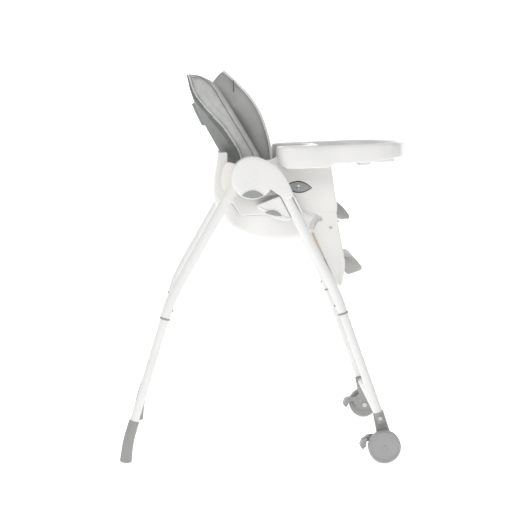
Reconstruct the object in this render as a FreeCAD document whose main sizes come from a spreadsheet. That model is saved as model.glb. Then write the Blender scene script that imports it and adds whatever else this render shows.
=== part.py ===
import FreeCAD, Part
import math
import os
import Sketcher
from FreeCAD import Placement, Rotation, Vector

# Folding high chair: front (child's knees) toward +X, the chair's left toward +Y, floor at Z = 0.
# Millimetres. Every size is a named cell of the sheet "sizes"; shapes take theirs by expression.

doc = FreeCAD.newDocument("high_chair")
sheet = doc.addObject("Spreadsheet::Sheet", "sizes")
rows = [0]
made = {}


class Size:
    # A number together with the sheet expression that gives it.
    def __init__(self, value, text):
        self.value = float(value)
        self.text = text

    def __add__(self, other):
        other = sized(other)
        return Size(self.value + other.value, "(%s + %s)" % (self.text, other.text))

    def __sub__(self, other):
        other = sized(other)
        return Size(self.value - other.value, "(%s - %s)" % (self.text, other.text))

    def __mul__(self, other):
        other = sized(other)
        return Size(self.value * other.value, "(%s * %s)" % (self.text, other.text))

    def __truediv__(self, other):
        other = sized(other)
        return Size(self.value / other.value, "(%s / %s)" % (self.text, other.text))

    def __radd__(self, other):
        return sized(other) + self

    def __rsub__(self, other):
        return sized(other) - self

    def __rmul__(self, other):
        return sized(other) * self

    def __neg__(self):
        return Size(-self.value, "(-%s)" % self.text)


def sized(item):
    if isinstance(item, Size):
        return item
    return Size(item, "(%r)" % float(item))


def sine(angle):
    return Size(math.sin(math.radians(angle.value)), "sin(%s * 1deg)" % angle.text)


def cosine(angle):
    return Size(math.cos(math.radians(angle.value)), "cos(%s * 1deg)" % angle.text)


def lean_of(low, high):
    # Angle from the vertical, in degrees, of the line from low up to high; positive toward +X.
    across = high[0] - low[0]
    rise = high[1] - low[1]
    value = math.degrees(math.atan2(across.value, rise.value))
    return Size(value, "(atan2(%s; %s) / 1deg)" % (across.text, rise.text))


def size(alias, number):
    rows[0] += 1
    cell = "A%d" % rows[0]
    sheet.set(cell, repr(number))
    sheet.setAlias(cell, alias)
    return Size(number, "sizes.%s" % alias)


# ---- driving sizes ----
chair_height = size("chair_height", 1062.0)
chair_length = size("chair_length", 796.0)
chair_width = size("chair_width", 590.0)
play = size("play", 0.4)              # between faces that slide or turn past each other
fit = size("fit", 0.05)               # radial, pin in its hole
reach_x = chair_length / 796.0        # lengths along X follow the chair's length
reach_z = chair_height / 1062.0       # heights follow the chair's height

leg_y = chair_width / 2 - size("leg_inset", 39.0)
tube_d = size("tube_d", 27.0)
tube_wall = size("tube_wall", 1.5)
spigot = size("spigot", 46.0)         # lower tube's length inside the upper one
lower_d = tube_d - 2 * tube_wall - 2 * size("tube_play", 0.3)
lower_wall = size("lower_wall", 1.5)
wheel_r = size("wheel_r", 44.0)
rim_r = size("rim_r", 36.5)
wheel_w = size("wheel_w", 28.0)
hub_r = size("hub_r", 60.0)
socket_r = size("socket_r", 82.0)
pivot_r = size("pivot_r", 8.0)
front_lean = size("front_lean", 27.36)
front_run = size("front_run", 349.0) * reach_z   # straight upper part of the front leg
side_out = size("side_out", 205.0)    # seat side, outer face
side_in = size("side_in", 178.0)      # seat side, inner face
wing_half = size("wing_half", 175.0)
insert_half = size("insert_half", 130.0)
tray_half = size("tray_half", 270.0)
tray_tilt = size("tray_tilt", 2.2)
shell = size("shell_wall", 6.0)


def at(x, z):
    return (sized(x) * reach_x, sized(z) * reach_z)


def outline(alias, pairs):
    # Named corner points, kept in the sheet at the chair's nominal size.
    points = []
    for number, pair in enumerate(pairs, 1):
        x = size("%s_x%d" % (alias, number), float(pair[0]))
        z = size("%s_z%d" % (alias, number), float(pair[1]))
        points.append(at(x, z))
    return points


def flat(alias, pairs):
    # Named corner points that do not grow with the chair.
    points = []
    for number, pair in enumerate(pairs, 1):
        u = size("%s_u%d" % (alias, number), float(pair[0]))
        v = size("%s_v%d" % (alias, number), float(pair[1]))
        points.append((u, v))
    return points


# ---- drawing helpers ----
def bind(thing, slot, amount, unit=""):
    thing.setExpression(slot, amount.text + unit)


def body(name):
    piece = doc.addObject("PartDesign::Body", name)
    piece.Label = name
    made[name] = piece
    return piece


def place(piece, x, y, z, turn=None):
    # Moves a piece's own frame, and leans it about Y when a turn in degrees is given.
    piece.Placement = Placement(Vector(0, 0, 0), Rotation(Vector(0, 1, 0), 5))
    bind(piece, "Placement.Base.x", sized(x))
    bind(piece, "Placement.Base.y", sized(y))
    bind(piece, "Placement.Base.z", sized(z))
    bind(piece, "Placement.Rotation.Angle", sized(turn if turn is not None else 0), " * 1deg")


def draw(piece, role, x=0, y=0, z=0, turn=0):
    # Empty sketch on one of the piece's planes, shifted and turned about that plane's own Y.
    plane = [item for item in piece.Origin.OriginFeatures if item.Role == role][0]
    sketch = piece.newObject("Sketcher::SketchObject", piece.Name + "_sketch")
    sketch.AttachmentSupport = [(plane, "")]
    sketch.MapMode = "FlatFace"
    sketch.AttachmentOffset = Placement(Vector(0, 0, 0), Rotation(Vector(0, 1, 0), 5))
    for axis, amount in (("x", x), ("y", y), ("z", z)):
        bind(sketch, "AttachmentOffset.Base." + axis, sized(amount))
    bind(sketch, "AttachmentOffset.Rotation.Angle", sized(turn), " * 1deg")
    return sketch


def fix(sketch, geometry, point, pair):
    for kind, amount in (("DistanceX", pair[0]), ("DistanceY", pair[1])):
        rule = Sketcher.Constraint(kind, -1, 1, geometry, point, amount.value)
        bind(sketch, "Constraints[%d]" % sketch.addConstraint(rule), amount)


def polygon(sketch, points, closed=True):
    points = [(sized(u), sized(v)) for u, v in points]
    spots = [Vector(u.value, v.value, 0) for u, v in points]
    first = sketch.GeometryCount
    count = len(spots) if closed else len(spots) - 1
    for number in range(count):
        sketch.addGeometry(Part.LineSegment(spots[number], spots[(number + 1) % len(spots)]))
    for number in range(count - 1):
        sketch.addConstraint(Sketcher.Constraint("Coincident", first + number, 2, first + number + 1, 1))
    if closed:
        sketch.addConstraint(Sketcher.Constraint("Coincident", first + count - 1, 2, first, 1))
    for number in range(count):
        fix(sketch, first + number, 1, points[number])
    if not closed:
        fix(sketch, first + count - 1, 2, points[-1])


def circle(sketch, u, v, radius):
    u = sized(u)
    v = sized(v)
    radius = sized(radius)
    ring = sketch.addGeometry(Part.Circle(Vector(u.value, v.value, 0), Vector(0, 0, 1), radius.value))
    fix(sketch, ring, 3, (u, v))
    rule = Sketcher.Constraint("Radius", ring, radius.value)
    bind(sketch, "Constraints[%d]" % sketch.addConstraint(rule), radius)


def grow(piece, sketch, length, cut=False):
    # Pads or pockets a sketch equally to both sides of its plane.
    kind = "PartDesign::Pocket" if cut else "PartDesign::Pad"
    feature = piece.newObject(kind, piece.Name + ("_cut" if cut else "_pad"))
    feature.Profile = sketch
    feature.SideType = "Symmetric"
    bind(feature, "Length", sized(length))
    sketch.Visibility = False
    return feature


def layer(piece, points, y, thick, cut=False):
    # Slab of an outline in the XZ plane, centred on y in the piece's own frame.
    sketch = draw(piece, "XZ_Plane", z=-sized(y))
    polygon(sketch, points)
    return grow(piece, sketch, thick, cut)


def plate(name, points, y, thick):
    piece = body(name)
    place(piece, 0, y, 0)
    layer(piece, points, 0, thick)
    return piece


def disc(piece, x, z, radius, y, thick, cut=False):
    # Round slab about an axis along Y.
    sketch = draw(piece, "XZ_Plane", z=-sized(y))
    circle(sketch, x, z, radius)
    return grow(piece, sketch, thick, cut)


def floor_slab(piece, points, z, thick, cut=False):
    # Slab of a plan outline, centred on height z in the piece's own frame.
    sketch = draw(piece, "XY_Plane", z=z)
    polygon(sketch, points)
    return grow(piece, sketch, thick, cut)


def rod(piece, x, y, z, lean, radius, length, cut=False):
    # Round bar centred on x, y, z whose axis leans from the vertical in the XZ plane.
    sketch = draw(piece, "XY_Plane", x, y, z, lean)
    circle(sketch, 0, 0, radius)
    return grow(piece, sketch, length, cut)


def pipe(piece, points, outer, inner=None):
    # Tube along a line of points in the XZ plane, mitred at its bends.
    spine = draw(piece, "XZ_Plane")
    polygon(spine, points, closed=False)
    start = points[0]
    ring = draw(piece, "XY_Plane", start[0], 0, start[1], lean_of(points[1], start))
    circle(ring, 0, 0, outer)
    if inner is not None:
        circle(ring, 0, 0, inner)
    doc.recompute()
    feature = piece.newObject("PartDesign::AdditivePipe", piece.Name + "_pipe")
    feature.Profile = ring
    feature.Spine = (spine, ["Edge%d" % number for number in range(1, len(points))])
    feature.Transition = "Right corner"
    return feature


def loft(piece, sections):
    # Straight-sided solid through outlines of equal corner count, each at its own y.
    drawn = []
    for y, points in sections:
        sketch = draw(piece, "XZ_Plane", z=-sized(y))
        polygon(sketch, points)
        drawn.append(sketch)
    doc.recompute()
    feature = piece.newObject("PartDesign::AdditiveLoft", piece.Name + "_loft")
    feature.Profile = drawn[0]
    feature.Sections = drawn[1:]
    feature.Ruled = True
    return feature


def ease(piece, radius, chosen):
    # Rounds the edges for which chosen(middle, direction) holds.
    doc.recompute()
    base = piece.Tip
    names = []
    for number, edge in enumerate(base.Shape.Edges, 1):
        middle = edge.valueAt((edge.FirstParameter + edge.LastParameter) / 2)
        tangent = edge.tangentAt((edge.FirstParameter + edge.LastParameter) / 2)
        if chosen(middle, tangent):
            names.append("Edge%d" % number)
    feature = piece.newObject("PartDesign::Fillet", piece.Name + "_ease")
    feature.Base = (base, names)
    bind(feature, "Radius", sized(radius))
    doc.recompute()
    return feature


def upright(middle, tangent):
    return abs(tangent.z) > 0.99


def across(middle, tangent):
    return abs(tangent.y) > 0.99


def between(a, b, share):
    # Point on the line from a to b; shares outside 0..1 reach past the ends.
    return (a[0] + (b[0] - a[0]) * share, a[1] + (b[1] - a[1]) * share)


def shifted(points, x, z):
    return [(u + x, v + z) for u, v in points]


sides = (("right", -1), ("left", 1))

# ---- points the whole frame hangs on ----
front_ring, front_end = outline("front", [(205, 408), (303, 134)])
axle = (sized(318) * reach_x, wheel_r)
front_bend = between(front_ring, front_end, -0.19)
front_top = (front_bend[0] - front_run * sine(front_lean),
             front_bend[1] + front_run * cosine(front_lean))
hub = (front_top[0] - size("hub_back", 66.0), front_top[1] - size("hub_down", 1.0))
rear_ring, rear_end = outline("rear", [(-273, 395), (-359, 112)])
rear_bend = between(rear_ring, rear_end, -0.186)
rear_top = (hub[0] - size("rear_back", 57.1), hub[1] - size("rear_down", 38.8))
foot_turn = between(rear_ring, rear_end, 1.2)
foot_low = (sized(-383) * reach_x, sized(-8.0))
lower_lean = lean_of(front_end, front_ring)      # of the lower front tube
rear_lean = lean_of(rear_end, rear_ring)
tube_r = tube_d / 2
lower_r = lower_d / 2
gap = play

# ---- legs: upper tubes, lower tubes that plug into them, collars at the joints ----
for side, s in sides:
    y = s * leg_y
    for name, top, bend, ring, end in (("front_leg_", front_top, front_bend, front_ring, front_end),
                                       ("rear_leg_", rear_top, rear_bend, rear_ring, rear_end)):
        piece = body(name + side)
        place(piece, 0, y, 0)
        pipe(piece, [top, bend, ring], tube_r, tube_r - tube_wall)
    for name, ring, end, low in (("front_tube_", front_ring, front_end, 1.0),
                                 ("rear_tube_", rear_ring, rear_end, 1.14)):
        piece = body(name + side)
        place(piece, 0, y, 0)
        start = between(ring, end, -0.155)
        pipe(piece, [start, between(ring, end, low)], lower_r, lower_r - lower_wall)
collar_t = size("collar_t", 4.0)
for name, ring, lean in (("front_collars", front_ring, lower_lean), ("rear_collars", rear_ring, rear_lean)):
    piece = body(name)
    place(piece, ring[0], 0, ring[1], lean)
    middle = -(collar_t / 2 + gap)
    for side, s in sides:
        rod(piece, 0, s * leg_y, middle, 0, tube_r + 0.8, collar_t)
        rod(piece, 0, s * leg_y, middle, 0, lower_r + fit, collar_t * 3, cut=True)

# ---- rear feet and rear cross bar ----
foot_r = size("foot_r", 14.5)
bar_r = size("bar_r", 10.0)
rear_bar = at(-374, 50)
for side, s in sides:
    piece = body("rear_foot_" + side)
    place(piece, 0, s * leg_y, 0)
    pipe(piece, [rear_end, between(rear_ring, rear_end, 1.2), foot_low], foot_r)
    rod(piece, -383 * reach_x, 0, 6, 0, 15.4, 12)
    rod(piece, rear_end[0], 0, rear_end[1], rear_lean, lower_r + fit, 2 * 0.142 * 296 * reach_z, cut=True)
    floor_slab(piece, [(-500, -40), (-250, -40), (-250, 40), (-500, 40)], -20, 40, cut=True)
rear_cross = body("rear_crossbar")
place(rear_cross, rear_bar[0], 0, rear_bar[1])
disc(rear_cross, 0, 0, bar_r, 0, 2 * (leg_y - foot_r + 1))
for side, s in sides:
    disc(made["rear_foot_" + side], rear_bar[0], rear_bar[1], bar_r + fit, -s * (foot_r + 9), 20, cut=True)

# ---- front cross bar, wheel housings, wheels, brakes ----
cross = at(307, 119)
housing_t = size("housing_t", 18.0)
housing_y = leg_y - size("housing_shift", 5.0)
neck = [(290, 128), (316, 138), (334, 84), (338, 58), (331, 33), (306, 28), (293, 40), (284, 52), (288, 66),
        (300, 76)]
neck = outline("neck", neck)
pin_at = at(277, 62)
brake_ear = outline("brakeear", [(272.5, 56), (292, 56), (292, 70), (272.5, 68)])
for side, s in sides:
    piece = body("wheel_housing_" + side)
    place(piece, 0, s * housing_y, 0)
    layer(piece, neck, 0, housing_t)
    sleeve = between(front_ring, front_end, 1.0535)
    rod(piece, sleeve[0], s * (leg_y - housing_y), sleeve[1], lower_lean, lower_r + 1.5, 30)
    rod(piece, front_end[0], s * (leg_y - housing_y), front_end[1], lower_lean, lower_r - lower_wall - fit, 50)
    for offset in (-10.5, 10.5):
        layer(piece, brake_ear, offset, 3.4)
    disc(piece, pin_at[0], pin_at[1], 2.5, 0, 24)
wheel_y = chair_width / 2 - wheel_w / 2
axle_r = size("axle_r", 4.0)
axles = body("wheel_axles")
place(axles, axle[0], 0, axle[1])
brake = outline("brake", [(282, 66), (276, 70), (258, 58), (253, 44), (260, 36), (268, 44), (270, 52), (281, 56)])
brake_wide = outline("brakewide", [(271, 64), (258, 58), (253, 44), (260, 36), (268, 44), (269, 54)])
for side, s in sides:
    tyre = body("wheel_tyre_" + side)
    place(tyre, axle[0], s * wheel_y, axle[1])
    disc(tyre, 0, 0, wheel_r, 0, wheel_w)
    disc(tyre, 0, 0, rim_r, 0, wheel_w * 2, cut=True)
    ease(tyre, 4, lambda middle, tangent: math.hypot(middle.x, middle.z) > rim_r.value + 2)
    cap = body("wheel_cap_" + side)
    place(cap, axle[0], s * wheel_y, axle[1])
    disc(cap, 0, 0, rim_r - 0.1, 0, wheel_w - 4)
    disc(cap, 0, 0, axle_r + fit, -s * 4, wheel_w, cut=True)
    disc(axles, 0, 0, axle_r, s * (housing_y + 7), 34)
    disc(axles, 0, 0, axle_r + 3, s * (housing_y - housing_t / 2 - 2), 4)
    disc(made["wheel_housing_" + side], axle[0], axle[1], axle_r + fit, 0, housing_t * 2, cut=True)
    pedal = body("brake_pedal_" + side)
    place(pedal, 0, s * (housing_y + 6), 0)
    layer(pedal, brake, -s * 6, housing_t - 2)
    layer(pedal, brake_wide, s * 7, 34)
    disc(pedal, pin_at[0], pin_at[1], 2.5 + fit, 0, 60, cut=True)
cross_bar = body("front_crossbar")
place(cross_bar, cross[0], 0, cross[1])
disc(cross_bar, 0, 0, bar_r, 0, 2 * (housing_y - housing_t / 2 - gap / 2))
screws = body("crossbar_screws")
place(screws, cross[0], 0, cross[1])
for side, s in sides:
    disc(cross_bar, 0, 0, 3 + fit, s * (housing_y - housing_t / 2), 40, cut=True)
    disc(made["wheel_housing_" + side], cross[0], cross[1], 3 + fit, 0, housing_t * 4, cut=True)
    disc(screws, 0, 0, 3, s * (leg_y - 6), 46)
    disc(screws, 0, 0, 5.5, s * (leg_y + lower_r + 3.4), 3)

# ---- hub: housing on the front leg, cover, pivot pins, socket of the rear leg, fold button ----
housing_in = leg_y - 21                # middle of the inner plate
tail = flat("tail", [(30, 52), (92, -8), (113, -50), (87, -63), (58, -15)])
tray_plate = flat("hubplate", [(30, 49), (90, -8), (98, -26), (76, -43), (30, -49)])
sector = [(0, 0)]
for turn in (94, 116, 139, 161, 184, 206, 229):
    sector.append((socket_r * math.cos(math.radians(turn)), socket_r * math.sin(math.radians(turn))))
rear_upper = lean_of(rear_bend, rear_top)
pins = body("hub_pins")
place(pins, hub[0], 0, hub[1])
hub_screws = body("hub_screws")
place(hub_screws, hub[0], 0, hub[1])
for side, s in sides:
    piece = body("hub_housing_" + side)
    place(piece, hub[0], s * leg_y, hub[1])
    disc(piece, 0, 0, hub_r - 2, -s * 20.5, 12)
    layer(piece, tray_plate, -s * 20.5, 12)
    rod(piece, front_top[0] - hub[0] + 5, 0, front_top[1] - hub[1] - 9, front_lean * -1, 16.5, 26)
    rod(piece, front_top[0] - hub[0], 0, front_top[1] - hub[1], front_lean * -1, tube_r + fit, 140, cut=True)
    disc(piece, 0, 0, pivot_r + fit, -s * 20, 60, cut=True)
    disc(piece, 56, -38, 2.5 + fit, -s * 20, 60, cut=True)
    cover = body("hub_cover_" + side)
    place(cover, hub[0], s * leg_y, hub[1])
    disc(cover, 0, 0, hub_r, s * 13.5, 13)
    layer(cover, tail, s * 18, 4)
    disc(cover, 3, -42, 13.5, s * 17.5, 15, cut=True)
    disc(cover, 0, 0, pivot_r + fit, s * 7, 12, cut=True)
    rod(cover, front_top[0] - hub[0], 0, front_top[1] - hub[1], front_lean * -1, 16.5 + gap, 240, cut=True)
    button = body("fold_button_" + side)
    place(button, hub[0] + 3, s * (leg_y + 18.5), hub[1] - 42)
    disc(button, 0, 0, 13, 0, 8)
    socket = body("rear_socket_" + side)
    place(socket, hub[0], s * (leg_y - 4), hub[1])
    disc(socket, 0, 0, 39, 0, 20)
    layer(socket, sector, 0, 20)
    rod(socket, rear_top[0] - hub[0] - 4, s * 4, rear_top[1] - hub[1] - 8, rear_upper, 15, 20)
    rod(socket, rear_top[0] - hub[0] - 14.8, s * 4, rear_top[1] - hub[1] - 26.1, rear_upper, tube_r + fit,
        60, cut=True)
    disc(socket, 0, 0, pivot_r + fit, 0, 60, cut=True)
    disc(pins, 0, 0, pivot_r, s * (leg_y - 8), 38)
    disc(hub_screws, 56, -38, 2.5, s * (leg_y - 20), 15)
    disc(hub_screws, 56, -38, 5, s * (leg_y - 12.5), 4)

# ---- sliders that carry the seat on the front legs ----
def on_leg(forward, up):
    # Point in the XZ plane from one in the leg's own frame: forward of the axis, up along it.
    start = between(front_top, front_bend, 0.0716)
    return (start[0] + forward * cosine(front_lean) - up * sine(front_lean),
            start[1] + forward * sine(front_lean) + up * cosine(front_lean))


wing = [on_leg(u, v) for u, v in flat("wing", [(-84, -16), (-14.5, -24), (-14.5, -88), (-24, -88)])]
guard = [on_leg(u, v) for u, v in flat("guard", [(14.5, -30), (20, -30), (20, -88), (14.5, -88)])]
block = [on_leg(u, v) for u, v in flat("block", [(-84, -16), (20, -27), (20, -95), (-20, -95)])]
tongue_x = on_leg(-20, -50)[0] - 10
tongue_z = on_leg(-20, -50)[1]
tongue_w = size("tongue_w", 34.0)
tongue_h = size("tongue_h", 78.0)
tongue_low = tongue_z - 10


def upright_box(x, z, wide, tall, more=0):
    # Corners of a box centred on x with its foot at z, grown all round by more.
    half = wide / 2 + more
    return [(x - half, z - more), (x + half, z - more), (x + half, z + tall + more), (x - half, z + tall + more)]


height_at = on_leg(-47, -62)
for side, s in sides:
    piece = body("slider_" + side)
    place(piece, 0, s * leg_y, 0)
    layer(piece, block, -s * 30.5, 33)
    layer(piece, wing, -s * 4, 20.2)
    layer(piece, guard, -s * 4, 20.2)
    layer(piece, upright_box(tongue_x, tongue_low, tongue_w, tongue_h, gap), -s * 38, 12 + 2 * gap, cut=True)
    disc(piece, height_at[0], height_at[1], 11, s * 2, 14, cut=True)
    button = body("height_button_" + side)
    place(button, height_at[0], s * (leg_y + 4.5), height_at[1])
    disc(button, 0, 0, 10.5, 0, 8)

# ---- seat: side shells, bowl, floor, pad, calf hinge pins ----
side_y = (side_out + side_in) / 2
side_t = side_out - side_in
side_line = outline("side", [(-100, 795), (-45, 812), (14, 816), (34, 826.9), (164, 831.9), (176, 802),
                             (193, 689), (190, 662), (160, 655), (136, 668), (81, 691), (0, 668), (-68, 664),
                             (-103, 712)])
ear = outline("ear", [(160, 672), (192, 672), (193, 636), (186, 619), (167, 617), (157, 632)])
calf_pin = at(175, 633)
side_button = (on_leg(16, 0)[0] + 34, on_leg(16, 0)[1] - 12)
button_half = (size("button_long", 34.0), size("button_tall", 14.5))
for side, s in sides:
    piece = body("seat_side_" + side)
    place(piece, 0, s * side_y, 0)
    layer(piece, side_line, 0, side_t)
    ease(piece, 4, lambda middle, tangent, s=s: s * middle.y > 13.4 and middle.z < 828)
    layer(piece, ear, -s * 7.3, 12.4)
    layer(piece, upright_box(tongue_x, tongue_low, tongue_w, tongue_h), s * (leg_y - 38 - side_y), 12)
    layer(piece, upright_box(tongue_x, tongue_low + tongue_h - 24, tongue_w, 24), s * 20, 15)
    u, v = side_button
    a, b = button_half
    opening = [(u - a, v - b), (u + a, v - b), (u + a, v + b), (u - a, v + b)]
    layer(piece, opening, s * 12, 18, cut=True)
    disc(piece, calf_pin[0], calf_pin[1], 4 + fit, 0, 80, cut=True)
    button = body("seat_button_" + side)
    place(button, u, s * (side_y + 10.5), v)
    layer(button, [(0.5 - a, 0.5 - b), (a - 0.5, 0.5 - b), (a - 0.5, b - 0.5), (0.5 - a, b - 0.5)], 0, 9)
    ease(button, 6, across)
bowl_line = outline("bowl", [(-131, 843), (-145, 753), (-143, 712), (-123, 664), (-93, 626), (-29, 596),
                             (60, 590), (98, 600), (121, 620), (125, 648), (136, 667.5), (81, 690.5),
                             (0, 667.5), (-69, 663.5), (-104, 712), (-105, 843)])
bowl_edge = outline("bowledge", [(-129, 835), (-135, 753), (-133, 716), (-116, 676), (-88, 642), (-28, 616),
                                 (58, 610), (94, 618), (114, 632), (119, 650), (136, 667.5), (81, 690.5),
                                 (0, 667.5), (-69, 663.5), (-104, 712), (-105, 835)])
bowl_core = outline("bowlcore", [(-122, 900), (-139, 753), (-137, 714), (-118, 668), (-90, 632), (-28, 602),
                                 (59, 596), (95, 606), (115, 624), (119, 652), (138, 680), (150, 900)])
bowl = body("seat_bowl")
place(bowl, 0, 0, 0)
loft(bowl, [(-side_out + 3, bowl_edge), (-side_out + 26, bowl_line), (side_out - 26, bowl_line),
            (side_out - 3, bowl_edge)])
layer(bowl, bowl_core, 0, 2 * (side_out - 32), cut=True)
bowl_mouth = outline("bowlmouth", [(-124, 900), (-128, 753), (-126, 718), (-108, 680), (-82, 650),
                                   (-26, 624), (57, 618), (92, 626), (108, 638), (114, 656), (136, 684), (148, 900)])
layer(bowl, bowl_mouth, 0, 2 * (side_out - 10), cut=True)
recline_cut = outline("reclinecut", [(-170, 760), (-100, 735), (-100, 900), (-170, 900)])
layer(bowl, recline_cut, 0, 2 * 112, cut=True)
floor_half = side_in - 0.3
floor_line = outline("floor", [(-124, 742), (-106, 690), (-88, 667), (150, 677), (170, 673), (184, 655),
                               (188, 657), (176, 677), (152, 683), (-84, 673), (-100, 693), (-118, 744)])
plate("seat_floor", floor_line, 0, 2 * floor_half)
layer(made["seat_floor"], recline_cut, 0, 2 * 112, cut=True)
pad_line = outline("pad", [(-66, 674.6), (150, 684), (176, 678.5), (190, 660), (212, 646), (232, 639),
                           (240, 648), (224, 676), (200, 692), (180, 705), (90, 703), (-40, 699), (-62, 690)])
pad = plate("seat_pad", pad_line, 0, 2 * size("pad_half", 164.0))
front_trim = outline("padtrim", [(192, 630), (260, 630), (260, 720), (192, 720)])
for side, s in sides:
    layer(pad, front_trim, s * 150, 56, cut=True)
pivots = body("seat_pins")
place(pivots, 0, 0, 0)
for side, s in sides:
    disc(pivots, calf_pin[0], calf_pin[1], 4, s * (side_y + 0.6), 28)
strap = outline("crotch", [(96, 703.6), (99, 703.6), (86, 722), (52, 722), (52, 719.4), (84, 719.4)])
straps = plate("seat_straps", strap, 0, 26)
buckle = outline("buckle", [(22, 712), (51.8, 712), (51.8, 727), (22, 727)])
plate("harness_buckle", buckle, 0, 34)
lap_line = outline("lap", [(-30, 700.2), (70, 703.2), (70, 705.4), (-30, 702.6)])
for side, s in sides:
    layer(straps, lap_line, s * 88, 26)

# ---- backrest: shell, cover with side wings, pad insert, straps, recline handle ----
recline = at(-78, 716)
pipeline = outline("piping", [(-60, 738), (-63, 821), (-104, 892), (-145, 939), (-192, 988), (-208, 1043)])
back_full = outline("backfull", [(-216, 1046), (-198, 973), (-172, 916), (-134, 849), (-101, 800), (-97, 722),
                                 (-84, 702), (-64, 706)])
back_thin = outline("backthin", [(-214, 1044), (-201, 984), (-157, 931), (-116, 882), (-76, 815), (-74, 742),
                                 (-70, 734), (-64, 732)])
hull = shifted(pipeline, -0.4, 0)
shell_y = wing_half - 10
piece = body("back_shell")
place(piece, 0, 0, 0)
loft(piece, [(-shell_y, hull + back_thin), (-shell_y + 80, hull + back_full),
             (shell_y - 80, hull + back_full), (shell_y, hull + back_thin)])
lug = outline("lug", [(-66, 736), (-92, 736), (-95, 716), (-86, 703), (-68, 703), (-62, 716)])
for side, s in sides:
    layer(piece, lug, s * (shell_y - 28), 56)
disc(piece, recline[0], recline[1], 5 + fit, 0, 2 * wing_half, cut=True)
disc(pivots, recline[0], recline[1], 5, 0, 2 * side_in - 0.4)
front_edge = outline("wingfront", [(-183, 1054), (-139, 1030), (-104, 980), (-63, 912), (-30, 857), (-11, 821),
                                   (-22, 742)])
wing_top = outline("wingtop", [(-214, 1048)])
panel = outline("panel", [(-38, 748), (-43, 834), (-84, 905), (-125, 952), (-166, 1003), (-184, 1046)])
cover = plate("back_cover", pipeline + wing_top + front_edge, 0, 2 * wing_half)
recess = panel + [at(-170, 1120), at(60, 1120), at(60, 700), at(-38, 700)]
layer(cover, recess, 0, 2 * (wing_half - 26), cut=True)
insert_rear = [(u + 0.4, v) for u, v in panel[1:5]]
insert_front = outline("insertfront", [(-129, 1047), (-115, 1062), (-82, 1028), (-43, 986), (-15, 939), (4, 883),
                                       (17, 820), (12, 740), (-10, 724), (-36.6, 746)])
insert = plate("insert_pad", insert_rear + insert_front, 0, 2 * insert_half)
hollow = outline("inserthollow", [(-6, 700), (-12, 832), (-48, 905), (-90, 955), (-128, 1004), (-60, 1100),
                                  (90, 1000), (90, 700)])
layer(insert, hollow, 0, 2 * 72, cut=True)
strap_rear = outline("shoulder", [(-10.6, 812), (-11.5, 832.3), (-47.5, 905.3), (-89.5, 955.3), (-106, 976.5)])
strap_front = [(u + 2.6, v + 1.2) for u, v in reversed(strap_rear)]
straps = body("shoulder_straps")
place(straps, 0, 0, 0)
for side, s in sides:
    layer(straps, strap_rear + strap_front, s * 38, 26)
handle_line = outline("handle", [(-196, 970), (-181, 937), (-169, 911), (-173, 909), (-187, 934), (-203, 966)])
handle = plate("recline_handle", shifted(handle_line, -3.5, -1.0), 0, 64)

# ---- calf rest, footrest ----
calf_y = side_out - 7
cheek = outline("cheek", [(168, 655), (184, 654), (196, 641), (204, 600), (217, 531), (207, 471), (193, 474),
                          (127, 622), (140, 650)])
board = outline("board", [(170, 651), (184, 654), (196, 641), (204, 600), (217, 531), (207, 471), (190, 479),
                          (161, 600), (166, 612)])
calf = body("calf_rest")
place(calf, 0, 0, 0)
layer(calf, cheek, 0, 2 * side_out - 0.6)
ease(calf, 5, lambda middle, tangent: abs(middle.y) > side_out.value - 0.4)
clear_ear = outline("clearear", [(140, 610), (200, 612), (203, 640), (192, 700), (140, 700)])
for side, s in sides:
    layer(calf, clear_ear, s * (side_in + 4), 18, cut=True)
middle_cut = outline("middlecut", [(110, 700), (110, 465), (186, 465), (158, 590), (161, 618), (172, 700)])
layer(calf, middle_cut, 0, 2 * (side_in - 6), cut=True)
disc(calf, calf_pin[0], calf_pin[1], 4 + fit, 0, 900, cut=True)
slot = outline("slot", [(130, 503), (240, 503), (240, 634), (130, 634)])
layer(calf, slot, 0, 37, cut=True)
ledge_line = outline("ledge", [(224.5, 497), (230, 494), (268, 518), (264, 526), (242, 545), (215.4, 545)])
ledge = plate("footrest", ledge_line, 0, 240)
ease(ledge, 3, lambda middle, tangent: abs(tangent.y) > 0.99 and middle.x > 235)
tongue = outline("tongue", [(170, 512), (226, 512), (226, 540), (163, 540)])
layer(ledge, tongue, 0, 36)

# ---- tray, its liner and its lever, all in the tray's own tilted frame ----
tray_at = at(27, 835)
reach_t = tray_half / 270.0


def plan(alias, pairs):
    # Half outline on +Y, mirrored to make the whole.
    half = [(u * reach_x, v * reach_t) for u, v in flat(alias, pairs)]
    return half + [(u, -v) for u, v in reversed(half)]


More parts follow.
